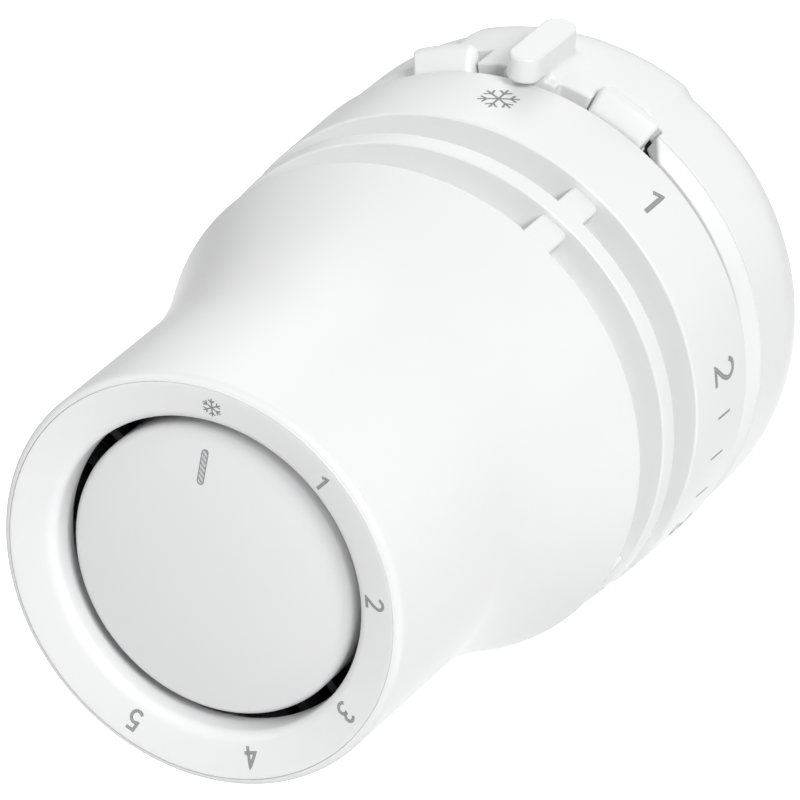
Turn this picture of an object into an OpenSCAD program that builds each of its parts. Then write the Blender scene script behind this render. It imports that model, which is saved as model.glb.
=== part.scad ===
// Thermostatic sensor head for a radiator valve, as an assembly of separate pieces.
// Millimetres.  The model stands in the row frame: +Y runs along the head's axis and leaves at the
// rear, towards the valve; the front disc faces -Y; +Z is the side that carries the pointer.
// Each piece is drawn about its own axis with z counted forwards from the rear mouth of the valve
// socket and y towards the pointer, and in_row_frame() then lays it down.
// An angle called "turn" is counted clockwise from the pointer, as seen from the front.

/* [Handle] */
// Radius of the handle at its rear edge
handle_r = 28.5; // [28.3:0.1:29]
// Radius of the handle's shoulder, where the flare ends
shoulder_r = 27.55; // [27.4:0.05:27.8]
// Radius of the narrow neck behind the rim
neck_r = 22.5; // [22.4:0.1:23]
// Radius of the round opening in the front
opening_r = 17.1; // [16.9:0.1:17.4]
// Whole length, from the valve socket's mouth to the rim
total_l = 88; // [88:0.5:90]
// Thickness of the handle's wall
wall = 2.1; // [1.8:0.1:2.1]

/* [Scale] */
// Angle that the handle turns through, from the frost mark to the highest number
turn_range = 200; // [150:5:200]
// How far the sensor is moved forwards over that turn
setting_travel = 4; // [2:0.5:4]

/* [Collar] */
// Radius of the fixed rear collar
collar_r = 28.2; // [28:0.1:28.4]
// How far the pointer's platform stands proud of the collar
platform_h = 0.6; // [0.5:0.1:1]
// Half angle of the platform
platform_half = 24.75; // [24:0.25:26]
// Radius of the flat top of the pointer boss
pointer_r = 32.3; // [31.5:0.1:32.5]
// Width of the pointer boss
pointer_w = 3.6; // [3:0.1:4]

/* [Limiters] */
// Turn at which a limiter starts, counted either way from the pointer
limiter_in = 14; // [13.5:0.1:14.5]
// Turn at which a limiter ends
limiter_out = 28.2; // [27.5:0.1:28.4]
// How far a limiter is pulled back to free the handle
limiter_travel = 1.8; // [1:0.1:1.8]

/* [Valve connection] */
// Radius of the socket that takes the valve neck
socket_r = 11.6; // [11.5:0.05:11.8]
// Depth of the socket
socket_depth = 12; // [11:0.5:12]

/* [Sensor] */
// Radius of the sensor's can
can_r = 11; // [10.5:0.1:11]
// Radius of the push rod
rod_r = 3; // [2.5:0.1:3]
// Working stroke of the push rod
rod_travel = 2.5; // [1.5:0.5:2.5]

/* [Hidden] */
$fn = 96;
eps = 0.01;
running = 0.06;     // radial clearance of a shaft in its bearing
gap = 0.3;          // clearance between pieces that pass each other

// Handle: stations along the axis
handle_rear_z = 21.8;
ring_front_z = 33.2;
rib_rear_z = 37.7;
rib_front_z = 40;
shoulder_z = 45;
neck_z = 66.2;
flare_power = 1.7;
flare_steps = 24;
ring_r = 28.2;
rib_r = 27.85;
groove_r = 23.6;
edge = 0.35;            // small bevel on the handle's turned edges
rim_round = 0.9;        // outer edge of the rim
rim_w = 1.1;            // width of the rim before the dial face slopes inwards
rim_r = neck_r - 0.1;
face_slope = 0.2;
lip_round = 1.4;        // where the dial face turns down into the opening
lip_z = total_l - face_slope * (rim_r - rim_w - opening_r - lip_round) - lip_round * 1.02;
opening_rear_z = total_l - 5.1;
opening_wall = 1.6;
face_h = 2.8;           // thickness of the front, from the rim down
neck_bore_r = neck_r - wall;
rear_bore_r = handle_r - 2.2;
groove_bore_r = groove_r - wall;
bridge_turn = 28.8;     // first of four bridges over each groove
bridge_half = 3.75;
bridge_r = 27.4;

// Collar
dome_round = 12;
collar_wall = 2.2;
lip_front_z = 19.2;
lip_bevel_z = 17.9;
lip_tip_r = 27.3;
recess_z = 20.2;
pedestal_z = 21.3;
pedestal_half = 6;
pedestal_r = 29.5;
pointer_front_z = 24.55;
pointer_back_z = 13.3;
pointer_under_r = 29.4;
collar_back_r = 15.6;
window_in = limiter_in - 0.6;
window_out = limiter_out + 0.6;
limiter_front_z = 21.3;
limiter_head_z = limiter_front_z - 2.4;     // rear of the part that stands in the window
limiter_ramp_r = 28.3;  // foot of the sloping front of a limiter's finger tab
limiter_top_r = 30.4;
limiter_ramp_h = 1.4;
window_rear_z = limiter_head_z - limiter_travel - 0.7;

// Socket body and guide sleeve
socket_out_r = 15.5;
web_z = 15;
flange_r = 26;
flange_h = 2.5;
jaw_z = 3.8;
jaw_h = 3.8;
jaw_w = 7;
jaw_in_r = socket_r + 0.15;
jaw_out_r = 15.2;
skirt_r = 23.3;
skirt_in_r = 21.5;
skirt_front_z = 27;
sleeve_r = 14.6;
sleeve_bore_r = 12.8;
sleeve_front_z = 76;
shoulder_ring_z = 53.2;
slot_w = 5.2;
journal_z = [54, 56];
clip_z = [56.3, 57.3];
clip_groove_r = 14;

// Stop ring
stop_z = [24, 27];
stop_lug_z = 21.9;
stop_out_r = 26.25;
lug_in_r = 24;
lug_margin = 0.5;
lug_span = 360 - turn_range - 2 * (limiter_out + 2 * lug_margin);

// Sensor
carriage_z = [27, 68.5];
carriage_r = 12.5;
carriage_bore_r = can_r + 0.2;
fin_z = [60, 67];
slot_z = [fin_z[0] - 2, fin_z[1] + setting_travel + 1.6];
fin_w = 4.6;
fin_r = 17.2;
thread_bore_r = 17.25;
thread_z = 73;
can_z = [29.8, 60];
can_wall = 0.8;
plate_z = 28.3;
bellows_z = 50;
bellows_r = [5.4, 7.6];
bellows_folds = 9;
rod_tip_h = 1.6;
rod_z = [socket_depth + 0.2 + rod_tip_h, 48.5];     // drawn back into the web at rest
rod_flange_z = web_z + 4.5 + rod_travel;
cap_z = 66.5;

// Front carrier and disc
carrier_z = 76;
carrier_r = 20;
carrier_ribs = 24;
disc_r = 15.85;
disc_edge_z = 85.1;
disc_rise = 1.35;
disc_round = 1;

function polar(r, turn) = [r * sin(turn), r * cos(turn)];

// Radius of the flare at t, from 0 where the neck ends to 1 at the shoulder
function flare_at(t) = neck_r + (shoulder_r - neck_r) * pow(t, flare_power);
function flare_points(inset, t_end) = [
    for (i = [flare_steps:-1:0])
        let (t = t_end * i / flare_steps)
        [flare_at(t) - inset, neck_z + (shoulder_z - neck_z) * t]
];
function arc_points(centre, r, a0, a1, steps) = [
    for (i = [0:steps])
        let (a = a0 + (a1 - a0) * i / steps)
        centre + r * [cos(a), sin(a)]
];

module in_row_frame() {
    rotate([90, 0, 0]) children();
}

module tube(r_out, r_in, z0, z1) {
    translate([0, 0, z0]) difference() {
        cylinder(r = r_out, h = z1 - z0);
        translate([0, 0, -eps]) cylinder(r = r_in, h = z1 - z0 + 2 * eps);
    }
}

// A block between two turns, two radii and two stations
module arc_block(t0, t1, r0, r1, z0, z1) {
    rotate([0, 0, 90 - t1])
        rotate_extrude(angle = t1 - t0)
            translate([r0, z0]) square([r1 - r0, z1 - z0]);
}

// A round wire wound into a coil about the z axis
module coil_spring(coil_r, wire_r, z0, z1, turns) {
    sides = 8;
    per_turn = 14;
    count = round(turns * per_turn);
    rise = z1 - z0 - 2 * wire_r;
    points = [
        for (i = [0:count])
            let (a = 360 * i / per_turn, z = z0 + wire_r + rise * i / count)
            for (j = [0:sides - 1])
                let (b = 360 * j / sides, r = coil_r + wire_r * cos(b))
                [r * cos(a), r * sin(a), z + wire_r * sin(b)]
    ];
    skin = [
        for (i = [0:count - 1], j = [0:sides - 1])
            [i * sides + j, i * sides + (j + 1) % sides,
             (i + 1) * sides + (j + 1) % sides, (i + 1) * sides + j]
    ];
    first = [for (j = [sides - 1:-1:0]) j];
    last = [for (j = [0:sides - 1]) count * sides + j];
    polyhedron(points, concat(skin, [first, last]), convexity = 10);
}

// ---- handle: turns on the guide sleeve ----

module handle_profile() {
    outer = concat(
        [[handle_r - edge, handle_rear_z], [handle_r, handle_rear_z + edge],
         [ring_r, ring_front_z - edge], [ring_r - edge, ring_front_z],
         [groove_r, ring_front_z], [groove_r, rib_rear_z],
         [rib_r - edge, rib_rear_z], [rib_r, rib_rear_z + edge],
         [rib_r - 0.2, rib_front_z - edge], [rib_r - 0.2 - edge, rib_front_z],
         [groove_r - 0.2, rib_front_z], [groove_r - 0.2, shoulder_z - edge],
         [shoulder_r - edge, shoulder_z - edge]],
        flare_points(0, 1),
        arc_points([rim_r - rim_round, total_l - rim_round], rim_round, 0, 90, 6),
        [[rim_r - rim_w, total_l]]
    );
    inner = concat(
        arc_points([opening_r + lip_round, lip_z], lip_round, 90 + atan(face_slope), 180, 8),
        [[opening_r, opening_rear_z], [opening_r + opening_wall, opening_rear_z],
         [opening_r + opening_wall, total_l - face_h], [neck_bore_r, total_l - face_h]],
        [for (i = [flare_steps:-1:0]) flare_points(wall, 0.9)[i]],
        [[groove_bore_r, shoulder_z], [groove_bore_r, ring_front_z - wall],
         [rear_bore_r, ring_front_z - wall - 2], [rear_bore_r, handle_rear_z]]
    );
    polygon(concat(outer, inner));
}

module handle_shell() {
    color("white") {
        rotate_extrude() handle_profile();
        for (i = [0:3]) {
            turn = bridge_turn + 90 * i;
            arc_block(turn - bridge_half, turn + bridge_half, groove_r - 0.5, bridge_r,
                ring_front_z - 0.2, rib_rear_z + 0.2);
            arc_block(turn - bridge_half, turn + bridge_half, groove_r - 0.5, bridge_r - 0.25,
                rib_front_z - 0.2, shoulder_z);
        }
    }
}

// Fixed in the handle's neck: carries the setting thread, and runs on the guide sleeve
module thread_sleeve() {
    color("gainsboro") {
        tube(neck_bore_r, thread_bore_r, journal_z[0], thread_z);
        tube(thread_bore_r + eps, sleeve_r + running, journal_z[0], journal_z[1]);
    }
}

// Fixed in the handle's rear: its long lug meets a limiter at each end of the turn
module stop_ring() {
    color("gainsboro") {
        tube(stop_out_r, skirt_r + running, stop_z[0], stop_z[1]);
        arc_block(-limiter_out - lug_margin - lug_span, -limiter_out - lug_margin,
            lug_in_r, stop_out_r - 0.1, stop_lug_z, stop_z[0] + 0.5);
    }
}

// ---- rear collar: fixed ----

module collar_outline(proud, front_z) {
    intersection() {
        union() {
            square([collar_r - dome_round, front_z]);
            translate([0, dome_round]) square([collar_r + proud, front_z - dome_round]);
            translate([collar_r - dome_round, dome_round]) circle(r = dome_round + proud);
        }
        square([collar_r + proud, front_z]);
    }
}

// Space inside the collar
module collar_cavity() {
    translate([0, 0, lip_bevel_z - 4])
        cylinder(r = collar_r - collar_wall, h = 20);
    rotate_extrude() intersection() {
        union() {
            translate([collar_r - dome_round, dome_round]) circle(r = dome_round - collar_wall);
            translate([0, collar_wall]) square([collar_r - dome_round, dome_round]);
            translate([0, dome_round]) square([collar_r - collar_wall, 3]);
        }
        square([collar_r, lip_bevel_z]);
    }
}

module collar_platform() {
    rotate([0, 0, 90 - platform_half])
        rotate_extrude(angle = 2 * platform_half)
            collar_outline(platform_h, recess_z);
}

// A stretch of the pointer between two heights, with a round back end and, if asked, a round front
module boss_block(r0, r1, front_z, round_front) {
    back_z = pointer_back_z + pointer_w / 2;
    translate([-pointer_w / 2, r0, back_z]) cube([pointer_w, r1 - r0, front_z - back_z]);
    for (z = round_front ? [back_z, front_z] : [back_z])
        translate([0, r0, z]) rotate([-90, 0, 0]) cylinder(d = pointer_w, h = r1 - r0);
}

module pointer_boss() {
    root_r = collar_r - 1;
    boss_block(pointer_under_r, pointer_r, pointer_front_z - pointer_w / 2, true);
    boss_block(root_r, pointer_under_r + 0.5, pedestal_z, false);
}

module rear_collar() {
    color("white") difference() {
        union() {
            rotate_extrude() difference() {
                collar_outline(0, lip_front_z);
                polygon([[lip_tip_r, lip_front_z], [collar_r, lip_bevel_z],
                         [collar_r + 1, lip_bevel_z], [collar_r + 1, lip_front_z + 1],
                         [lip_tip_r, lip_front_z + 1]]);
            }
            collar_platform();
            arc_block(-pedestal_half, pedestal_half, collar_r - collar_wall + gap, pedestal_r,
                recess_z - 1, pedestal_z);
            pointer_boss();
        }
        collar_cavity();
        translate([0, 0, -1]) cylinder(r = collar_back_r, h = 10);
        for (side = [-1, 1]) {
            t0 = side > 0 ? window_in : -window_out;
            t1 = side > 0 ? window_out : -window_in;
            arc_block(t0, t1, 20, 40, window_rear_z, 30);
        }
    }
}

// ---- socket and sleeve: fixed ----

module jaw_window(width, r0, r1, z0, h) {
    for (side = [-1, 1])
        translate([side * (r0 + r1) / 2, 0, z0 + h / 2]) cube([r1 - r0, width, h], center = true);
}

module socket_body() {
    color("dimgray") difference() {
        union() {
            cylinder(r = socket_out_r, h = web_z);
            translate([0, 0, web_z - flange_h]) cylinder(r = flange_r - 0.05, h = flange_h);
        }
        translate([0, 0, -1]) cylinder(r = socket_r, h = socket_depth + 1);
        translate([0, 0, socket_depth - 1]) cylinder(r = rod_r + running, h = 10);
        jaw_window(jaw_w + 2 * gap, socket_r - 2, socket_out_r + 2, jaw_z - gap, jaw_h + 2 * gap);
    }
}

module snap_jaw(side) {
    color("black") intersection() {
        tube(jaw_out_r, jaw_in_r, jaw_z, jaw_z + jaw_h);
        translate([side * jaw_out_r, 0, jaw_z + jaw_h / 2])
            cube([2 * (jaw_out_r - 8), jaw_w, jaw_h + 1], center = true);
    }
}

module jaw_spring() {
    wire_r = 0.45;
    color("silver")
        translate([0, 0, jaw_z + jaw_h / 2])
            rotate([0, 0, -70])
                rotate_extrude(angle = 320)
                    translate([socket_out_r + wire_r + 0.1, 0]) circle(r = wire_r, $fn = 24);
}

module guide_sleeve() {
    color("dimgray") difference() {
        union() {
            tube(skirt_r, sleeve_bore_r, web_z, web_z + 2);
            tube(skirt_r, skirt_in_r, web_z + 1, skirt_front_z);
            tube(sleeve_r, sleeve_bore_r, web_z + 1, sleeve_front_z);
            tube(sleeve_r + 2, sleeve_bore_r + 1, shoulder_ring_z - 1.7, shoulder_ring_z);
        }
        for (i = [0:2])
            rotate([0, 0, 120 * i + 90])
                translate([sleeve_bore_r - 2, -slot_w / 2, slot_z[0]])
                    cube([6, slot_w, slot_z[1] - slot_z[0]]);
        difference() {
            translate([0, 0, clip_z[0] - 0.05]) cylinder(r = 20, h = clip_z[1] - clip_z[0] + 0.1);
            cylinder(r = clip_groove_r, h = 100);
        }
    }
}

module retaining_clip() {
    color("silver")
        rotate([0, 0, 110])
            rotate_extrude(angle = 320)
                translate([clip_groove_r + 0.05, clip_z[0]])
                    square([2.2, clip_z[1] - clip_z[0]]);
}

module friction_washer() {
    color("silver") tube(sleeve_r + 2, sleeve_r + 0.1, shoulder_ring_z + 0.05, journal_z[0] - 0.1);
}

// ---- front: fixed ----

module front_carrier() {
    color("black") {
        tube(sleeve_bore_r - 0.05, sleeve_bore_r - 1.6, sleeve_front_z - 1.5, carrier_z + 1);
        difference() {
            tube(carrier_r, sleeve_bore_r - 1.6, carrier_z, carrier_z + 2);
            for (i = [0:carrier_ribs - 1])
                rotate([0, 0, (i + 0.5) * 360 / carrier_ribs])
                    translate([16.6, -1.3, carrier_z - 1]) cube([2.4, 2.6, 4]);
        }
        tube(disc_r - 1.5, disc_r - 3, carrier_z + 1, disc_edge_z - 2.2);
        for (i = [0:carrier_ribs - 1])
            rotate([0, 0, i * 360 / carrier_ribs])
                translate([disc_r - 1.8, -0.5, carrier_z + 1]) cube([4.2, 1, 3.2]);
    }
}

module front_disc() {
    skirt = 1.4;
    ball_r = (disc_r * disc_r + disc_rise * disc_rise) / (2 * disc_rise);
    top = [
        for (i = [0:12])
            let (r = (disc_r - disc_round) * i / 12)
            [r, disc_edge_z + disc_rise - ball_r + sqrt(ball_r * ball_r - r * r)]
    ];
    edge_arc = arc_points([disc_r - disc_round, disc_edge_z - disc_round + 0.1], disc_round, 80, 0, 5);
    color("white") rotate_extrude()
        polygon(concat(top, edge_arc,
            [[disc_r, disc_edge_z - 4.5], [disc_r - skirt, disc_edge_z - 4.5],
             [disc_r - skirt, disc_edge_z - 1.8], [0, disc_edge_z - 1.4]]));
}

// ---- sensor carriage: moved along the axis by the setting thread ----

module sensor_carriage() {
    color("gainsboro") {
        tube(carriage_r, carriage_bore_r, carriage_z[0], carriage_z[1]);
        tube(carriage_bore_r + eps, carriage_bore_r - 3, carriage_z[0], carriage_z[0] + 1.2);
        for (i = [0:2])
            rotate([0, 0, 120 * i + 90]) intersection() {
                translate([carriage_bore_r + 0.4, -fin_w / 2, fin_z[0]])
                    cube([fin_r, fin_w, fin_z[1] - fin_z[0]]);
                cylinder(r = fin_r, h = 100);
            }
    }
}

module carriage_cap() {
    color("gainsboro") tube(carriage_bore_r - 0.05, 3, cap_z, carriage_z[1]);
}

module sensor_can() {
    color("silver") difference() {
        translate([0, 0, can_z[0]]) cylinder(r = can_r, h = can_z[1] - can_z[0]);
        translate([0, 0, can_z[0] - 1])
            cylinder(r = can_r - can_wall, h = can_z[1] - can_z[0] + 1 - can_wall);
    }
}

module can_plate() {
    color("silver") tube(can_r, rod_r + 1.4, plate_z, can_z[0]);
}

module bellows() {
    skin = 0.35;
    step = (bellows_z - can_z[0] - 1) / bellows_folds;
    mid = can_z[0] + 0.4;
    fold_out_r = bellows_r[1] - skin * 1.6;
    fold_in_r = bellows_r[0] - skin * 0.4;
    outer = [
        for (i = [0:bellows_folds - 1])
            each [[bellows_r[0] + skin, mid + step * i], [bellows_r[1], mid + step * (i + 0.5)]]
    ];
    inner = [
        for (i = [bellows_folds - 1:-1:0])
            each [[fold_out_r, mid + step * (i + 0.5)], [fold_in_r, mid + step * i]]
    ];
    end_plate = [[bellows_r[0] + skin, bellows_z], [0, bellows_z], [0, bellows_z - 1],
                 [fold_in_r, bellows_z - 1]];
    color("goldenrod") rotate_extrude()
        polygon(concat([[bellows_r[1], can_z[0] + eps]], outer, end_plate, inner,
                       [[fold_in_r, can_z[0] + eps]]));
}

// ---- push rod ----

module push_rod() {
    color("whitesmoke") {
        translate([0, 0, rod_z[0]]) cylinder(r = rod_r, h = rod_z[1] - rod_z[0]);
        translate([0, 0, rod_flange_z]) cylinder(r = rod_r + 2.6, h = 1.2);
    }
}

module rod_tip() {
    color("goldenrod") translate([0, 0, rod_z[0] - rod_tip_h])
        cylinder(r = rod_r - 0.2, h = rod_tip_h);
}

// ---- springs ----

module return_spring() {
    color("silver") coil_spring(rod_r + 1.5, 0.4, web_z + 0.05, rod_flange_z - 0.05, 4.5);
}

module overtravel_spring() {
    color("silver") coil_spring(7.5, 0.7, can_z[1] + 0.05, cap_z - 0.05, 3);
}

module limiter_spring(side) {
    turn = side * (limiter_in + limiter_out) / 2;
    at = polar(24.7, turn);
    color("silver") translate([at[0], at[1], 0])
        coil_spring(0.65, 0.15, web_z + 0.03, limiter_front_z - 4.25, 3);
}

// ---- limiters: each slides back against its spring ----

module limiter(side) {
    body_z = limiter_front_z - 4.2;
    t0 = side > 0 ? limiter_in : -limiter_out;
    t1 = side > 0 ? limiter_out : -limiter_in;
    color("whitesmoke") {
        arc_block(t0, t1, skirt_r + 0.4, collar_r - collar_wall - 0.35, body_z, limiter_front_z);
        rotate([0, 0, 90 - t1])
            rotate_extrude(angle = t1 - t0)
                polygon([[lug_in_r + 1, limiter_head_z], [lug_in_r + 1, limiter_front_z],
                         [limiter_ramp_r, limiter_front_z],
                         [limiter_top_r, limiter_front_z - limiter_ramp_h],
                         [limiter_top_r, limiter_head_z]]);
        arc_block(side > 0 ? t0 + 4 : t0, side > 0 ? t1 : t1 - 4, lug_in_r, stop_out_r - 0.9,
            limiter_front_z - 0.5, stop_z[0] - 0.8);
    }
}

in_row_frame() rear_collar();
in_row_frame() socket_body();
in_row_frame() jaw_spring();
in_row_frame() guide_sleeve();
in_row_frame() retaining_clip();
in_row_frame() friction_washer();
in_row_frame() front_carrier();
in_row_frame() front_disc();
in_row_frame() return_spring();
in_row_frame() limiter_spring(-1);  // min_limiter_spring
in_row_frame() limiter_spring(1);  // max_limiter_spring
in_row_frame() handle_shell();
in_row_frame() thread_sleeve();
in_row_frame() stop_ring();
in_row_frame() sensor_carriage();
in_row_frame() carriage_cap();
in_row_frame() overtravel_spring();
in_row_frame() sensor_can();
in_row_frame() can_plate();
in_row_frame() bellows();
in_row_frame() push_rod();
in_row_frame() rod_tip();
in_row_frame() limiter(-1);  // min_limiter
in_row_frame() limiter(1);  // max_limiter
in_row_frame() snap_jaw(-1);  // snap_jaw_left
in_row_frame() snap_jaw(1);  // snap_jaw_right
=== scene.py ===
"""Looks of the thermostatic radiator valve head: shells, marks, materials, light and camera.

Lengths in this script are millimetres until placed() turns them into the frame's metres.  A point is
given by its radius from the head's axis, its turn (degrees clockwise from the pointer, seen from
the front) and its station (distance forwards from the valve socket's mouth).
"""

import math

import bmesh
import bpy
import numpy as np
from mathutils import Matrix, Vector


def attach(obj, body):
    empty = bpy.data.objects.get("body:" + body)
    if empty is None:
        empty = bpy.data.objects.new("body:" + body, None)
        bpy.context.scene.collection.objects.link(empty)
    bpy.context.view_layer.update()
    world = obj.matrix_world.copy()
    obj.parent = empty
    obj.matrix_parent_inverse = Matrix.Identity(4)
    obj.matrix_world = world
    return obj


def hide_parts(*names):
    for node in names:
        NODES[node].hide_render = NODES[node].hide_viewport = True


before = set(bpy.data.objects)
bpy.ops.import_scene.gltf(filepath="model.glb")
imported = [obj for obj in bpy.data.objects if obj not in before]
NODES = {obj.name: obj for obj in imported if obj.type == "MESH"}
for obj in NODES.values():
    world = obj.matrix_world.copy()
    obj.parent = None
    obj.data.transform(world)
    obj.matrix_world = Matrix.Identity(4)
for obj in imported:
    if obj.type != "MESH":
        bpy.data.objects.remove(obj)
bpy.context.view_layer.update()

MM = 0.001

# ---- handle ----
HANDLE_R = 28.5
SHOULDER_R = 27.55
NECK_R = 22.5
OPENING_R = 17.1
TOTAL_L = 88.0
WALL = 2.1
RING_WALL = 2.2
HANDLE_REAR = 21.8
RING_FRONT = 33.2
RIB_REAR = 37.7
RIB_FRONT = 40.0
SHOULDER = 45.0
NECK = 66.2
FLARE_POWER = 1.7
RING_R = 28.2
RIB_R = 27.85
GROOVE_R = 23.6
RIM_R = NECK_R - 0.1
RIM_ROUND = 0.9
RIM_W = 1.1             # from the rim's outside to where the dial face starts to slope inwards
FACE_SLOPE = 0.25
FACE_H = 2.8
LIP_ROUND = 1.4         # where the dial face turns down into the opening
OPENING_REAR = 82.9
OPENING_WALL = 1.6
MARK_R = 19.35          # middle of the marks on the dial face
RING_MARK = 26.9        # station of the middle of the marks on the number ring
BRIDGE_TURN = 28.8
BRIDGE_HALF = 3.75
BRIDGE_SINK = 0.7       # how far the bridges reach into the grooves' floor
REAR_BRIDGE_R = 27.4
FRONT_BRIDGE_R = 27.15
MARK_STEP = 40.0
MARK_SKEW = -1.45       # the printed marks stand this far from the pointer at rest

# ---- rear collar ----
COLLAR_R = 28.2
COLLAR_WALL = 2.2
DOME = 12.0
BACK_HOLE_R = 15.6
PLATFORM_H = 0.6
PLATFORM_HALF = 23.0
PLATFORM_FOOT = 27.4
BAND_FRONT = 19.5
BAND_REAR = 17.9
BAND_SLANT = 2.6        # the band starts this much later, in degrees, per millimetre forwards
RECESS = 20.2
BY_POINTER = 26.0       # within this turn either way the platform ends at the recess
PEDESTAL = 21.3
PEDESTAL_HALF = 6.0
PEDESTAL_R = 28.85
BOSS_W = 3.6
BOSS_BACK = 13.3
BOSS_FRONT = 24.55
BOSS_R = 32.3
BOSS_UNDER_R = 29.4
WINDOW_IN = 13.4
WINDOW_OUT = 28.8
WINDOW_REAR = 16.4

# ---- limiters ----
TAB_IN = 14.0
TAB_OUT = 28.2
TAB_FRONT = 21.3
TAB_H = 2.4
TAB_RAMP_R = 28.3
TAB_TOP_R = 30.4
TAB_RAMP_H = 1.4

# ---- front disc ----
DISC_R = 15.85
DISC_EDGE = 85.1
DISC_RISE = 1.35
DISC_ROUND = 0.75


# ------------------------------------------------------------------ placing points and meshes


def placed(radius, turn, station):
    """Points of the row frame, in metres, from radii, turns and stations"""
    t = np.radians(turn)
    radius, t, station = np.broadcast_arrays(radius, t, station)
    return np.stack([radius * np.sin(t), -station, radius * np.cos(t)], axis=-1) * MM


def mesh_piece(name, points, faces, body, material, slot=None, stands_for=()):
    """A smooth-shaded mesh object that rides on a body"""
    mesh = bpy.data.meshes.new(name)
    mesh.from_pydata([tuple(p) for p in points], [], faces)
    mesh.validate()
    mesh.shade_smooth()
    piece = bpy.data.objects.new(name, mesh)
    bpy.context.scene.collection.objects.link(piece)
    mesh.materials.append(material)
    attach(piece, body)
    if stands_for:
        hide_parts(*stands_for)
    return piece


def rounded(corners, steps=5):
    """A closed outline in (radius, station) with each corner (radius, station, rounding) cut by an arc"""
    outline = []
    count = len(corners)
    for i, (r, z, rounding) in enumerate(corners):
        here = np.array([r, z], float)
        before = np.array(corners[i - 1][:2], float) - here
        after = np.array(corners[(i + 1) % count][:2], float) - here
        if rounding <= 0:
            outline.append(here)
            continue
        before /= np.linalg.norm(before)
        after /= np.linalg.norm(after)
        half = math.acos(np.clip(before @ after, -1, 1)) / 2
        centre = here + (before + after) / np.linalg.norm(before + after) * rounding / math.sin(half)
        start = here + before * rounding / math.tan(half) - centre
        end = here + after * rounding / math.tan(half) - centre
        sweep = math.atan2(start[0] * end[1] - start[1] * end[0], start @ end)
        for k in range(steps + 1):
            a = sweep * k / steps
            outline.append(centre + [start[0] * math.cos(a) - start[1] * math.sin(a),
                                     start[0] * math.sin(a) + start[1] * math.cos(a)])
    return np.array(outline)


def lathe(name, outline, body, material, columns=360, **more):
    """Turns a closed outline in (radius, station) about the axis"""
    turns = np.arange(columns) * 360.0 / columns
    points = placed(outline[None, :, 0], turns[:, None], outline[None, :, 1]).reshape(-1, 3)
    rows = len(outline)
    faces = []
    for c in range(columns):
        d = (c + 1) % columns
        for k in range(rows):
            m = (k + 1) % rows
            faces.append((c * rows + k, d * rows + k, d * rows + m, c * rows + m))
    piece = mesh_piece(name, points, faces, body, material, **more)
    face_outwards(piece)
    return piece


def face_outwards(piece):
    """Turns the faces over if the closed mesh encloses a negative volume"""
    mesh = piece.data
    mesh.calc_loop_triangles()
    corners = np.zeros(len(mesh.loop_triangles) * 3, np.int32)
    mesh.loop_triangles.foreach_get("vertices", corners)
    co = np.zeros(len(mesh.vertices) * 3)
    mesh.vertices.foreach_get("co", co)
    a, b, c = (co.reshape(-1, 3)[corners.reshape(-1, 3)[:, k]] for k in range(3))
    if np.einsum("ij,ij->i", a, np.cross(b, c)).sum() < 0:
        mesh.flip_normals()


# ------------------------------------------------------------------ solids from distances


def meet(a, b, rounding=0.2):
    """Intersection of two solids given as distances, with a rounded edge"""
    u = np.maximum(a + rounding, 0)
    v = np.maximum(b + rounding, 0)
    return np.minimum(-rounding, np.maximum(a, b)) + np.hypot(u, v)


def join(a, b, fillet=0.2):
    """Union of two solids given as distances, with a fillet in the corner between them"""
    u = np.maximum(fillet - a, 0)
    v = np.maximum(fillet - b, 0)
    return np.maximum(fillet, np.minimum(a, b)) - np.hypot(u, v)


def cut(a, b, rounding=0.2):
    """Solid a without solid b, with a rounded edge"""
    return meet(a, -b, rounding)


def between(value, low, high):
    """Distance to the slab from low to high"""
    return np.abs(value - (low + high) / 2) - (high - low) / 2


def sector(r, turn, low, high):
    """Distance to the wedge between two turns"""
    return np.radians(np.abs(turn - (low + high) / 2) - (high - low) / 2) * r


def spaced(*stretches):
    """Grid positions from (start, end, step) stretches that follow each other"""
    parts = [np.linspace(a, b, max(2, round((b - a) / step) + 1)) for a, b, step in stretches]
    return np.unique(np.round(np.concatenate(parts), 6))


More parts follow.
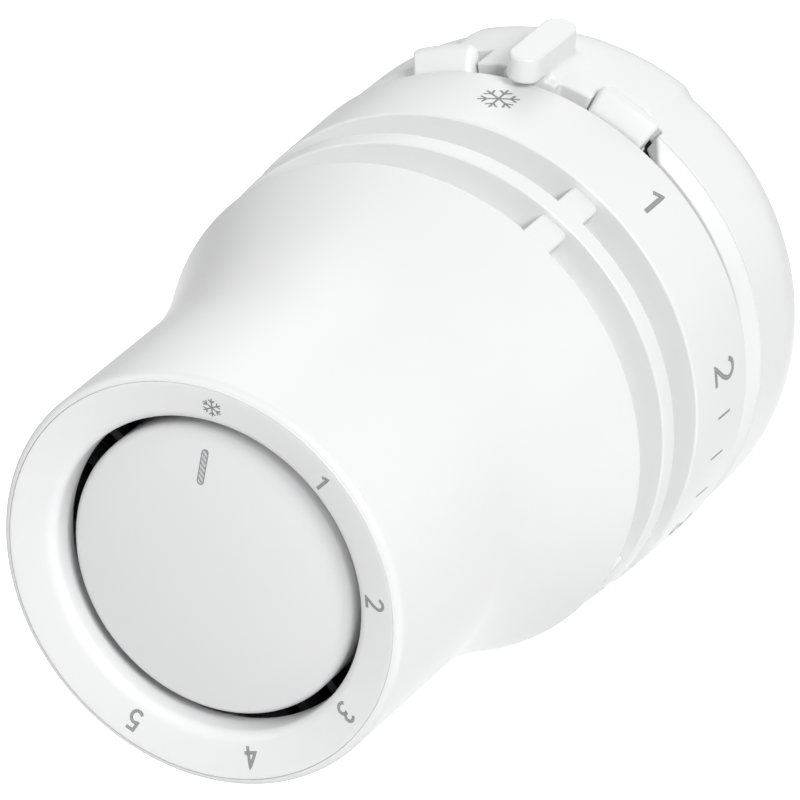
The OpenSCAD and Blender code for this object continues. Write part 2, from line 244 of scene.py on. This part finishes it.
def grid_net(values, wraps):
    """Vertices in grid units, and quads, of the zero surface of a grid of distances"""
    if wraps:
        values = np.concatenate([values, values[:1]])
    cells = tuple(n - 1 for n in values.shape)
    total = np.zeros(cells + (3,))
    count = np.zeros(cells)
    crossings = []
    for axis in range(3):
        low = np.take(values, range(values.shape[axis] - 1), axis)
        high = np.take(values, range(1, values.shape[axis]), axis)
        crossed = (low < 0) != (high < 0)
        share = np.where(crossed, low / np.where(crossed, low - high, 1), 0)
        crossings.append((crossed, low < 0))
        others = [k for k in range(3) if k != axis]
        for near in (0, 1):
            for far in (0, 1):
                window = [slice(None)] * 3
                window[others[0]] = slice(near, near + cells[others[0]])
                window[others[1]] = slice(far, far + cells[others[1]])
                hit = crossed[tuple(window)]
                total[..., axis] += share[tuple(window)]
                total[..., others[0]] += hit * near
                total[..., others[1]] += hit * far
                count += hit
    used = count > 0
    number = np.full(cells, -1)
    number[used] = np.arange(used.sum())
    vertices = np.argwhere(used) + total[used] / count[used][:, None]
    quads = []
    for axis, (crossed, inside) in enumerate(crossings):
        p, q = [k for k in range(3) if k != axis]
        at = np.argwhere(crossed)
        flip = inside[crossed] != (axis == 1)
        ring = wraps and axis != 0
        keep = np.ones(len(at), bool)
        for k in (p, q):
            if k == 0 and ring:
                keep &= at[:, 0] < cells[0]
            else:
                keep &= (at[:, k] > 0) & (at[:, k] < cells[k])
        at, flip = at[keep], flip[keep]
        corners = []
        for dp, dq in ((1, 1), (0, 1), (0, 0), (1, 0)):
            cell = at.copy()
            cell[:, p] -= dp
            cell[:, q] -= dq
            if wraps:
                cell[:, 0] %= cells[0]
            corners.append(number[cell[:, 0], cell[:, 1], cell[:, 2]])
        quad = np.stack(corners, axis=1)
        quad[flip] = quad[flip][:, ::-1]
        quads.append(quad)
    return vertices, np.concatenate(quads)


def carved(name, solid, turns, radii, stations, body, material, wraps=False, **more):
    """A mesh of solid(x, y, z), meshed on a grid of turns, radii and stations"""

    def from_polar(turn, radius, station):
        t = np.radians(turn)
        return radius * np.sin(t), radius * np.cos(t), station

    grid = np.meshgrid(turns, radii, stations, indexing="ij")
    vertices, quads = grid_net(solid(*from_polar(*grid)), wraps)
    all_turns = np.append(turns, turns[0] + 360) if wraps else turns
    steps = [np.interp(vertices[:, k], range(len(axis)), axis)
             for k, axis in enumerate((all_turns, radii, stations))]
    p = np.stack(from_polar(*steps), axis=1)
    nudge = 0.01
    for _ in range(4):
        here = solid(*p.T)
        slope = np.stack([solid(*(p + nudge * np.eye(3)[k]).T) - here for k in range(3)], axis=1) / nudge
        size = np.maximum(np.einsum("ij,ij->i", slope, slope), 0.25)
        p -= slope * np.clip(here / size, -0.15, 0.15)[:, None]
    points = np.stack([p[:, 0], -p[:, 2], p[:, 1]], axis=1) * MM
    piece = mesh_piece(name, points, quads.tolist(), body, material, **more)
    face_outwards(piece)
    return piece


# ------------------------------------------------------------------ materials


def shader(name, colour, roughness, metallic=0.0, tint=0.02, grain=0.25, bump=0.012, streak=(1, 1, 1),
           coat=0.0):
    """A moulded or machined finish: fine grain, slow drifts of tone and of gloss, no two places alike"""
    material = bpy.data.materials.new(name)
    material.use_nodes = True
    nodes, links = material.node_tree.nodes, material.node_tree.links
    surface = nodes["Principled BSDF"]
    surface.inputs["Metallic"].default_value = metallic
    surface.inputs["IOR"].default_value = 1.52
    surface.inputs["Coat Weight"].default_value = coat
    surface.inputs["Coat Roughness"].default_value = 0.2
    where = nodes.new("ShaderNodeTexCoord")
    stretch = nodes.new("ShaderNodeMapping")
    stretch.inputs["Scale"].default_value = streak
    links.new(where.outputs["Object"], stretch.inputs["Vector"])

    def noise(size_mm, detail):
        texture = nodes.new("ShaderNodeTexNoise")
        texture.inputs["Scale"].default_value = 1 / (size_mm * MM)
        texture.inputs["Detail"].default_value = detail
        links.new(stretch.outputs["Vector"], texture.inputs["Vector"])
        return texture.outputs["Fac"]

    def ramp(source, low, high):
        steps = nodes.new("ShaderNodeMapRange")
        steps.inputs["From Min"].default_value = 0.3
        steps.inputs["From Max"].default_value = 0.7
        steps.inputs["To Min"].default_value = low
        steps.inputs["To Max"].default_value = high
        links.new(source, steps.inputs["Value"])
        return steps.outputs["Result"]

    drift = noise(14, 3)
    shade = nodes.new("ShaderNodeMix")
    shade.data_type = "RGBA"
    shade.inputs["A"].default_value = (*[c * (1 - tint) for c in colour], 1)
    shade.inputs["B"].default_value = (*[min(c * (1 + tint), 1) for c in colour], 1)
    links.new(ramp(drift, 0, 1), shade.inputs["Factor"])
    links.new(shade.outputs["Result"], surface.inputs["Base Color"])
    fine = noise(grain, 4)
    gloss = nodes.new("ShaderNodeMath")
    gloss.operation = "ADD"
    links.new(ramp(drift, roughness - 0.03, roughness + 0.03), gloss.inputs[0])
    links.new(ramp(fine, -0.03, 0.03), gloss.inputs[1])
    links.new(gloss.outputs["Value"], surface.inputs["Roughness"])
    relief = nodes.new("ShaderNodeBump")
    relief.inputs["Strength"].default_value = 1.0
    relief.inputs["Distance"].default_value = bump * MM
    links.new(fine, relief.inputs["Height"])
    links.new(relief.outputs["Normal"], surface.inputs["Normal"])
    return material


def hatched(name, light, dark, pitch):
    """Laser marking: fine slanting lines of burnt plastic with the plain plastic between them"""
    material = shader(name, light, 0.55, tint=0.04)
    nodes, links = material.node_tree.nodes, material.node_tree.links
    surface = nodes["Principled BSDF"]
    where = nodes.new("ShaderNodeTexCoord")
    lines = nodes.new("ShaderNodeTexWave")
    lines.bands_direction = "DIAGONAL"
    lines.inputs["Scale"].default_value = 0.31 / (pitch * MM)
    lines.inputs["Distortion"].default_value = 1.5
    lines.inputs["Detail"].default_value = 2
    links.new(where.outputs["Object"], lines.inputs["Vector"])
    shade = nodes.new("ShaderNodeMix")
    shade.data_type = "RGBA"
    shade.inputs["A"].default_value = (*dark, 1)
    shade.inputs["B"].default_value = (*light, 1)
    links.new(lines.outputs["Fac"], shade.inputs["Factor"])
    links.new(shade.outputs["Result"], surface.inputs["Base Color"])
    return material


WHITE = shader("moulded_white", (0.72, 0.722, 0.725), 0.36, tint=0.006, bump=0.004)
DISC_WHITE = shader("satin_white", (0.66, 0.662, 0.667), 0.42, tint=0.006, grain=0.3, bump=0.006)
TAB_WHITE = shader("moulded_white_tab", (0.72, 0.722, 0.725), 0.4, tint=0.006, bump=0.005)
GREY = shader("moulded_grey", (0.16, 0.165, 0.17), 0.5)
BLACK = shader("moulded_black", (0.03, 0.03, 0.032), 0.4, tint=0.1)
NATURAL = shader("natural_acetal", (0.66, 0.655, 0.62), 0.42, tint=0.015)
STEEL = shader("spring_steel", (0.6, 0.6, 0.6), 0.28, metallic=1.0, streak=(1, 6, 1))
ALUMINIUM = shader("drawn_aluminium", (0.82, 0.825, 0.83), 0.34, metallic=1.0, streak=(1, 0.08, 1))
BRASS = shader("rolled_brass", (0.74, 0.55, 0.27), 0.3, metallic=1.0, streak=(1, 4, 1))
MARK_EDGE = hatched("laser_mark_edge", (0.27, 0.27, 0.275), (0.16, 0.16, 0.165), 0.12)
MARK_FILL = hatched("laser_mark_fill", (0.36, 0.36, 0.365), (0.22, 0.22, 0.225), 0.16)
LIGHT_FILL = hatched("laser_mark_light", (0.56, 0.56, 0.565), (0.24, 0.24, 0.245), 0.3)


# ------------------------------------------------------------------ handle


def flare_radius(t):
    return NECK_R + (SHOULDER_R - NECK_R) * t ** FLARE_POWER


def flare(shares, inset):
    return [(flare_radius(t) - inset, NECK + (SHOULDER - NECK) * t, 0) for t in shares]


def dial_station(r):
    """Station of the sloping dial face at a radius"""
    return TOTAL_L - FACE_SLOPE * (RIM_R - RIM_W - r)


def handle_outline():
    bore = HANDLE_R - RING_WALL
    neck_bore = NECK_R - WALL
    outside = [
        (HANDLE_R, HANDLE_REAR, 0.45), (RING_R, RING_FRONT, 0.3),
        (GROOVE_R, RING_FRONT, 0.15), (GROOVE_R, RIB_REAR, 0.15),
        (RIB_R, RIB_REAR, 0.25), (RIB_R - 0.2, RIB_FRONT, 0.25),
        (GROOVE_R - 0.2, RIB_FRONT, 0.15), (GROOVE_R - 0.2, SHOULDER, 0.15),
        (SHOULDER_R, SHOULDER, 0.2),
    ]
    rim = [
        (RIM_R, TOTAL_L, RIM_ROUND), (RIM_R - RIM_W, TOTAL_L, 1.9),
        (OPENING_R, dial_station(OPENING_R), LIP_ROUND), (OPENING_R, OPENING_REAR, 0.25),
        (OPENING_R + OPENING_WALL, OPENING_REAR, 0.25), (OPENING_R + OPENING_WALL, TOTAL_L - FACE_H, 0.5),
        (neck_bore, TOTAL_L - FACE_H, 0.7),
    ]
    inside = [
        (GROOVE_R - WALL, SHOULDER, 1.0), (GROOVE_R - WALL, RING_FRONT - WALL, 1.0),
        (bore, RING_FRONT - WALL - 2, 1.0), (bore, HANDLE_REAR, 0.35),
    ]
    shares = np.linspace(1, 0, 41)
    return rounded(outside + flare(shares[2:], 0) + rim + flare(shares[::-1][:-4], WALL) + inside, 8)


def bridges(x, y, z):
    """The eight blocks that bridge the two grooves, four in each, a quarter turn apart"""
    r = np.hypot(x, y)
    turn = (np.degrees(np.arctan2(x, y)) - BRIDGE_TURN + 45) % 90 - 45
    clockwise = np.radians(turn - BRIDGE_HALF) * r
    other = np.radians(-turn - BRIDGE_HALF) * r

    def block(rear, front, top):
        plan = np.maximum(meet(clockwise, rear - z, 0.9), meet(other, rear - z, 0.4))
        plan = np.maximum(plan, z - front)
        return np.maximum(meet(plan, r - top, 0.35), GROOVE_R - BRIDGE_SINK - r)

    return np.minimum(block(RING_FRONT, RIB_REAR + 0.4, REAR_BRIDGE_R),
                      block(RIB_FRONT, SHOULDER + 0.4, FRONT_BRIDGE_R))


lathe("handle_shell_body", handle_outline(), "handle", WHITE, columns=480,
      slot="white_shell", stands_for=("handle_shell",))
bridge_turns = [BRIDGE_TURN + 90 * i for i in range(4)]
near_bridges = np.concatenate([spaced((t - 4.6, t + 4.6, 0.3)) for t in bridge_turns])
carved("handle_bridges", bridges, near_bridges, spaced((22.6, 26.4, 0.3), (26.4, 27.7, 0.12)),
       spaced((32.9, 38.4, 0.12), (39.6, 45.7, 0.12)), "handle", WHITE, slot="white_shell")


# ------------------------------------------------------------------ rear collar


def dome(r, z, grown):
    """Distance to the collar's domed outside, grown by so much"""
    u = r - (COLLAR_R - DOME)
    v = DOME - z
    return np.minimum(np.maximum(u, v), 0) + np.hypot(np.maximum(u, 0), np.maximum(v, 0)) - DOME - grown


def collar(x, y, z):
    r = np.hypot(x, y)
    turn = np.degrees(np.arctan2(x, y))
    side = np.abs(turn)
    by_pointer = side < BY_POINTER
    share = np.clip((PLATFORM_FOOT - side) / (PLATFORM_FOOT - PLATFORM_HALF), 0, 1)
    boss_axis = np.clip(z, BOSS_BACK + BOSS_W / 2, BOSS_FRONT - BOSS_W / 2)
    stadium = np.maximum(np.hypot(x, z - boss_axis) - BOSS_W / 2, 20 - y)

    platform = PLATFORM_H * share * share * (3 - 2 * share)
    solid = join(dome(r, z, platform), meet(stadium, y - BOSS_R, 0.25), 1.3)
    solid = meet(solid, z - np.where(by_pointer, RECESS, BAND_FRONT), 0.18)
    bevel = ((r - COLLAR_R) * 1.3 + (z - BAND_REAR) * 0.9) / math.hypot(1.3, 0.9)
    parting = np.maximum(between(z, BAND_REAR - 0.2, BAND_REAR - 0.08), COLLAR_R - 0.2 - r)
    banded = cut(meet(solid, bevel, 0.08), parting, 0.02)
    solid = np.where(by_pointer, solid, banded)

    pedestal = meet(sector(r, turn, -PEDESTAL_HALF, PEDESTAL_HALF), r - PEDESTAL_R, 0.25)
    pedestal = meet(pedestal, z - PEDESTAL, 0.2)
    pedestal = np.maximum(pedestal, np.maximum(26.3 - r, RECESS - 2 - z))
    root = meet(np.maximum(stadium, np.maximum(y - 30.5, 26.5 - y)), z - PEDESTAL, 0.2)
    beak = meet(stadium, between(y, BOSS_UNDER_R, BOSS_R), 0.28)
    solid = join(join(join(solid, pedestal, 0.12), root, 0.12), beak, 0.15)

    solid = cut(solid, dome(r, z, -COLLAR_WALL), 0.25)
    solid = meet(meet(solid, -z, 0.25), BACK_HOLE_R - r, 0.4)
    slanted_end = WINDOW_OUT + BAND_SLANT * np.maximum(z - BAND_REAR, 0)
    window = np.radians(np.maximum(WINDOW_IN - side, side - slanted_end)) * r
    return cut(solid, meet(window, WINDOW_REAR - z, 0.4), 0.22)


collar_turns = np.concatenate([spaced((-36, 36, 0.4)), spaced((38, 322, 2.0))])
carved("rear_collar_shell", collar, collar_turns,
       spaced((15.2, 25, 0.5), (25, 27.9, 0.2), (27.9, 28.4, 0.07), (28.4, 32.8, 0.2)),
       spaced((-0.4, 3, 0.2), (3, 12.6, 0.4), (12.6, 17.6, 0.2), (17.6, 18, 0.04), (18, 25, 0.18)),
       "base", WHITE, wraps=True, slot="white_shell", stands_for=("rear_collar",))


# ------------------------------------------------------------------ limiters


def limiter(side):
    def solid(x, y, z):
        r = np.hypot(x, y)
        turn = np.degrees(np.arctan2(x * side, y))
        inner = np.radians(TAB_IN - turn) * r
        outer = np.radians(turn - TAB_OUT) * r
        slope = (TAB_TOP_R - TAB_RAMP_R) / TAB_RAMP_H
        ramp = ((r - TAB_RAMP_R) - (TAB_FRONT - z) * slope) / math.hypot(1, slope)
        top = meet(ramp, r - TAB_TOP_R, 0.3)
        head = meet(meet(inner, top, 1.0), meet(outer, top, 0.5), 0.05)
        head = meet(meet(head, z - TAB_FRONT, 0.2), TAB_FRONT - TAB_H - z, 0.25)
        head = np.maximum(head, 25 - r)
        wedge = np.maximum(inner, outer)
        foot = meet(meet(between(r, 23.7, 25.65), wedge, 0.2), between(z, TAB_FRONT - 4.2, TAB_FRONT), 0.2)
        stop = meet(np.maximum(outer, np.radians(TAB_IN + 4 - turn) * r), between(r, 24, 25.35), 0.2)
        stop = meet(stop, between(z, TAB_FRONT - 0.6, 23.2), 0.2)
        return join(join(head, foot, 0.2), stop, 0.2)
    return solid


for side, node in ((-1, "min_limiter"), (1, "max_limiter")):
    turns = spaced((13.2, 29, 0.3)) if side > 0 else spaced((-29, -13.2, 0.3))
    carved(node + "_tab", limiter(side), turns, spaced((23.3, 31.3, 0.14)), spaced((16.7, 23.6, 0.14)),
           node, TAB_WHITE, slot="limiter_white", stands_for=(node,))


# ------------------------------------------------------------------ front disc


BALL_R = (DISC_R ** 2 + DISC_RISE ** 2) / (2 * DISC_RISE)


def disc_height(r):
    """Station of the domed face at a radius"""
    return DISC_EDGE + DISC_RISE - BALL_R + np.sqrt(BALL_R ** 2 - r ** 2)


def disc_outline():
    face = [(r, disc_height(r), 0) for r in np.linspace(0, DISC_R - DISC_ROUND - 0.4, 40)]
    skirt = [(DISC_R, disc_height(DISC_R) + 0.08, DISC_ROUND), (DISC_R, DISC_EDGE - 4.5, 0.2),
             (DISC_R - 1.4, DISC_EDGE - 4.5, 0.2), (DISC_R - 1.4, DISC_EDGE - 1.8, 0.4),
             (0, DISC_EDGE - 1.4, 0)]
    return rounded(face + skirt, 8)


def close_pole(piece):
    """Merges the points of a lathed piece that lie on the axis"""
    work = bmesh.new()
    work.from_mesh(piece.data)
    bmesh.ops.remove_doubles(work, verts=work.verts, dist=1e-7)
    work.to_mesh(piece.data)
    work.free()


close_pole(lathe("front_disc_face", disc_outline(), "base", DISC_WHITE, columns=240,
                 slot="white_disc", stands_for=("front_disc",)))


# ------------------------------------------------------------------ printed marks


def arc(cx, cy, rx, ry, start, end, steps=12):
    """Points of an ellipse's arc; angles in degrees, anticlockwise from the right"""
    return [(cx + rx * math.cos(math.radians(a)), cy + ry * math.sin(math.radians(a)))
            for a in np.linspace(start, end, steps)]


def frost_mark():
    """Six arms, each with a pair of branches"""
    strokes = []
    foot, reach, spread = 0.28, 0.2, math.radians(50)
    for k in range(6):
        a = math.radians(60 * k + 30)

        def at(along, across):
            return (along * math.cos(a) - across * math.sin(a), along * math.sin(a) + across * math.cos(a))

        strokes.append([at(0.0, 0), at(0.5, 0)])
        for way in (-1, 1):
            tip = at(foot + reach * math.cos(spread), way * reach * math.sin(spread))
            strokes.append([at(foot, 0), tip])
    return strokes


# One unit tall, centred on the origin.
GLYPHS = {
    "frost": frost_mark(),
    "1": [[(-0.17, 0.27), (0.08, 0.46), (0.08, -0.5)]],
    "2": [arc(0, 0.22, 0.25, 0.26, 165, -20) + [(0.12, -0.08), (-0.25, -0.46), (0.28, -0.46)]],
    "3": [arc(-0.02, 0.24, 0.22, 0.23, 150, -85) + arc(-0.02, -0.22, 0.26, 0.25, 85, -150)],
    "4": [[(0.1, -0.5), (0.1, 0.46), (-0.27, -0.2), (0.3, -0.2)]],
    "5": [[(0.22, 0.46), (-0.16, 0.46), (-0.2, 0.06)] + arc(-0.02, -0.18, 0.26, 0.29, 125, -145)],
}
SCALE_MARKS = ("frost", "1", "2", "3", "4", "5")
PROUD = 0.012           # height of a mark over its surface
FILL_PROUD = 0.016      # height of the paler middle of a stroke
SUNK = 0.1              # depth of a mark's underside
TICK_HALF = 1.3
TICK_W = 0.26


def fine_path(stroke, step):
    """A stroke cut into short steps"""
    points = []
    for (x0, y0), (x1, y1) in zip(stroke, stroke[1:]):
        count = max(1, math.ceil(math.hypot(x1 - x0, y1 - y0) / step))
        points += [(x0 + (x1 - x0) * i / count, y0 + (y1 - y0) * i / count) for i in range(count)]
    return np.array(points + [stroke[-1]])


def ribbon(stroke, width, round_ends):
    """Left and right edges of a stroke of that width"""
    path = fine_path(stroke, 0.25)
    ahead = np.diff(path, axis=0)
    ahead /= np.linalg.norm(ahead, axis=1)[:, None]
    before = np.vstack([ahead[:1], ahead])
    after = np.vstack([ahead, ahead[-1:]])
    mean = before + after
    mean /= np.linalg.norm(mean, axis=1)[:, None]
    across = np.stack([-mean[:, 1], mean[:, 0]], axis=1)
    stretch = np.minimum(1 / np.maximum(np.einsum("ij,ij->i", mean, after), 0.3), 1.6)
    half = np.full(len(path), width / 2) * stretch
    if round_ends:
        caps = [(0.0, 0.35), (0.3, 0.75), (0.65, 0.95)]
        head = [path[0] - ahead[0] * width / 2 * (1 - d) for d, _ in caps]
        tail = [path[-1] + ahead[-1] * width / 2 * (1 - d) for d, _ in reversed(caps)]
        path = np.vstack([head, path, tail])
        across = np.vstack([[across[0]] * 3, across, [across[-1]] * 3])
        shares = np.array([s for _, s in caps])
        half = np.concatenate([shares * width / 2, half, shares[::-1] * width / 2])
    return path + across * half[:, None], path - across * half[:, None]


def mark_mesh(name, strokes, width, surface, proud, body, material, round_ends=False):
    """Thin plates that follow strokes over a surface; surface(u, v, height) gives row points"""
    points, faces = [], []
    for stroke in strokes:
        left, right = ribbon(stroke, width, round_ends)
        first = len(points)
        count = len(left)
        for edge, height in ((left, proud), (right, proud), (right, -SUNK), (left, -SUNK)):
            points += list(surface(edge[:, 0], edge[:, 1], height))
        for side in range(4):
            here, there = first + side * count, first + (side + 1) % 4 * count
            faces += [(here + i, here + i + 1, there + i + 1, there + i) for i in range(count - 1)]
        faces.append(tuple(first + side * count for side in range(4)))
        faces.append(tuple(first + (3 - side) * count + count - 1 for side in range(4)))
    piece = mesh_piece(name, points, faces, body, material)
    face_outwards(piece)
    piece.data.shade_flat()
    return piece


def on_funnel(turn):
    """Places a glyph on the sloping dial face, its top outwards"""
    def surface(u, v, height):
        r = MARK_R + v
        return placed(r, turn + np.degrees(u / r), dial_station(r) + height)
    return surface


def on_ring(turn):
    """Places a glyph on the number ring, its top towards the rear"""
    taper = (HANDLE_R - RING_R) / (RING_FRONT - HANDLE_REAR)

    def surface(u, v, height):
        station = RING_MARK - v
        r = HANDLE_R - taper * (station - HANDLE_REAR) + height
        return placed(r, turn + np.degrees(u / r), station)
    return surface


def on_disc(u, v, height):
    """Places a mark on the domed disc, at the pointer's side"""
    r = np.hypot(u, v)
    return placed(r, np.degrees(np.arctan2(u, v)), disc_height(r) + height)


def sized(strokes, height):
    return [[(x * height, y * height) for x, y in stroke] for stroke in strokes]


for i, glyph in enumerate(SCALE_MARKS):
    turn = MARK_SKEW + MARK_STEP * i
    label = "frost" if glyph == "frost" else "number_" + glyph
    fine = glyph == "frost"
    for place, on, height, width in (
        ("front", on_funnel(turn), 2.2, 0.15 if fine else 0.34),
        ("ring", on_ring(turn), 4.4 if fine else 4.0, 0.24 if fine else 0.52),
    ):
        strokes = sized(GLYPHS[glyph], height)
        mark_mesh(f"{label}_{place}", strokes, width, on, PROUD, "handle", MARK_EDGE)
        if not fine:
            mark_mesh(f"{label}_{place}_fill", strokes, width * 0.5, on, FILL_PROUD, "handle", MARK_FILL)

for i in range(2, len(SCALE_MARKS) - 1):
    for k in (1, 2, 3):
        turn = MARK_SKEW + MARK_STEP * i + 10 * k
        mark_mesh(f"tick_{i}_{k}", [[(0, -TICK_HALF), (0, TICK_HALF)]], TICK_W, on_ring(turn), PROUD,
                  "handle", MARK_EDGE)

INDICATOR = [[(-1.87, 9.9), (-1.78, 12.9)]]
mark_mesh("disc_indicator", INDICATOR, 0.8, on_disc, PROUD, "base", MARK_EDGE, round_ends=True)
mark_mesh("disc_indicator_fill", INDICATOR, 0.56, on_disc, FILL_PROUD, "base", LIGHT_FILL, round_ends=True)


# ------------------------------------------------------------------ pieces kept from the frame


def finish_node(node, material, edge=0.15):
    """Gives a kept node its material and softens its edges"""
    piece = NODES[node]
    piece.data.materials.clear()
    piece.data.materials.append(material)
    if edge:
        weld = piece.modifiers.new("weld", "WELD")
        weld.merge_threshold = 1e-6
        soften = piece.modifiers.new("edges", "BEVEL")
        soften.width = edge * MM
        soften.segments = 2
        soften.angle_limit = math.radians(40)
        soften.harden_normals = True


for node, material, edge in (
    ("socket_body", GREY, 0.3), ("guide_sleeve", GREY, 0.15), ("front_carrier", BLACK, 0.12),
    ("thread_sleeve", NATURAL, 0.2), ("stop_ring", NATURAL, 0.15), ("sensor_carriage", NATURAL, 0.15),
    ("carriage_cap", NATURAL, 0.15), ("push_rod", NATURAL, 0.2), ("rod_tip", BRASS, 0.15),
    ("sensor_can", ALUMINIUM, 0.2), ("can_plate", ALUMINIUM, 0.15), ("bellows", BRASS, 0),
    ("jaw_spring", STEEL, 0), ("retaining_clip", STEEL, 0.08), ("friction_washer", STEEL, 0.05),
    ("return_spring", STEEL, 0), ("overtravel_spring", STEEL, 0), ("min_limiter_spring", STEEL, 0),
    ("max_limiter_spring", STEEL, 0), ("snap_jaw_left", BLACK, 0.2), ("snap_jaw_right", BLACK, 0.2),
):
    finish_node(node, material, edge)


# ------------------------------------------------------------------ floor, light and camera


FLOOR_SIZE = 8
FLOOR_Z = -0.3
# painted light: the floor's glowing pool, its middle and the distances where it starts and stops fading
POOL_CENTRE = (-0.23, 0.46, 0)     # where the camera's view meets the floor
POOL_INNER = 0.2
POOL_OUTER = 0.5
HEAD_MIDDLE = (0, -0.045, 0)


def floor():
    """A pale floor that glows white around the place the camera looks at"""
    bpy.ops.mesh.primitive_plane_add(size=FLOOR_SIZE, location=(0, 0, FLOOR_Z))
    plane = bpy.context.object
    plane.name = "floor"
    material = bpy.data.materials.new("pale_floor")
    material.use_nodes = True
    nodes, links = material.node_tree.nodes, material.node_tree.links
    surface = nodes["Principled BSDF"]
    surface.inputs["Base Color"].default_value = (0.8, 0.8, 0.8, 1)
    surface.inputs["Roughness"].default_value = 0.9
    surface.inputs["Emission Color"].default_value = (1, 1, 1, 1)
    where = nodes.new("ShaderNodeTexCoord")
    away = nodes.new("ShaderNodeVectorMath")
    away.operation = "DISTANCE"
    away.inputs[1].default_value = POOL_CENTRE
    links.new(where.outputs["Object"], away.inputs[0])
    # painted light: the floor's emission glows white in a pool around where the camera looks and fades
    # away beyond it
    fade = nodes.new("ShaderNodeMapRange")
    fade.interpolation_type = "SMOOTHSTEP"
    fade.inputs["From Min"].default_value = POOL_INNER
    fade.inputs["From Max"].default_value = POOL_OUTER
    fade.inputs["To Min"].default_value = 1.05
    fade.inputs["To Max"].default_value = 0.05
    links.new(away.outputs["Value"], fade.inputs["Value"])
    links.new(fade.outputs["Result"], surface.inputs["Emission Strength"])
    plane.data.materials.append(material)


def from_angles(azimuth, elevation):
    """Unit vector towards a place; azimuth 0 is in front, positive to the right"""
    a, e = math.radians(azimuth), math.radians(elevation)
    return Vector((math.sin(a) * math.cos(e), -math.cos(a) * math.cos(e), math.sin(e)))


def area_light(name, towards, size, power, distance=1.5):
    """A square soft light aimed at the middle of the head"""
    data = bpy.data.lights.new(name, "AREA")
    data.size = size
    data.energy = power
    light = bpy.data.objects.new(name, data)
    bpy.context.scene.collection.objects.link(light)
    light.location = Vector(HEAD_MIDDLE) + towards * distance
    light.rotation_mode = "QUATERNION"
    light.rotation_quaternion = (-towards).to_track_quat("-Z", "Y")


def camera():
    """Seen from the front, above and the right, with a slight roll"""
    data = bpy.data.cameras.new("camera")
    data.lens = 360
    data.sensor_width = 36
    data.clip_start, data.clip_end = 0.05, 50
    viewer = bpy.data.objects.new("camera", data)
    bpy.context.scene.collection.objects.link(viewer)
    back = from_angles(24.9, 28.76)
    roll = math.radians(5.54)
    aim = Vector((0.0114, -0.0699, 0.0162))
    level = (-back).to_track_quat("-Z", "Y").to_matrix()
    turn = level @ Matrix.Rotation(roll, 3, "Z")
    viewer.matrix_world = Matrix.Translation(aim + back * 0.7914) @ turn.to_4x4()
    bpy.context.scene.camera = viewer


def studio():
    """A dim room with a broad glow behind the head and one to its left, and three soft lights"""
    world = bpy.data.worlds.new("studio")
    world.use_nodes = True
    nodes, links = world.node_tree.nodes, world.node_tree.links
    nodes["Background"].inputs["Color"].default_value = (1, 1, 1, 1)
    where = nodes.new("ShaderNodeTexCoord")

    def glow(towards, strength):
        along = nodes.new("ShaderNodeVectorMath")
        along.operation = "DOT_PRODUCT"
        along.inputs[1].default_value = towards
        links.new(where.outputs["Generated"], along.inputs[0])
        fade = nodes.new("ShaderNodeMapRange")
        fade.interpolation_type = "SMOOTHSTEP"
        fade.inputs["From Min"].default_value = 0.3
        fade.inputs["From Max"].default_value = 1.0
        fade.inputs["To Min"].default_value = 0
        fade.inputs["To Max"].default_value = strength
        links.new(along.outputs["Value"], fade.inputs["Value"])
        return fade.outputs["Result"]

    both = nodes.new("ShaderNodeMath")
    both.operation = "ADD"
    links.new(glow(from_angles(180, 10), 1.3), both.inputs[0])
    links.new(glow(from_angles(-60, 20), 0.8), both.inputs[1])
    links.new(both.outputs["Value"], nodes["Background"].inputs["Strength"])
    bpy.context.scene.world = world
    bpy.context.scene.view_settings.view_transform = "Standard"
    area_light("key", from_angles(50, 40), 0.55, 24.5)
    area_light("left", from_angles(-60, 20), 0.7, 2.5)
    area_light("rim", from_angles(-150, 40), 0.8, 2)


floor()
studio()
camera()
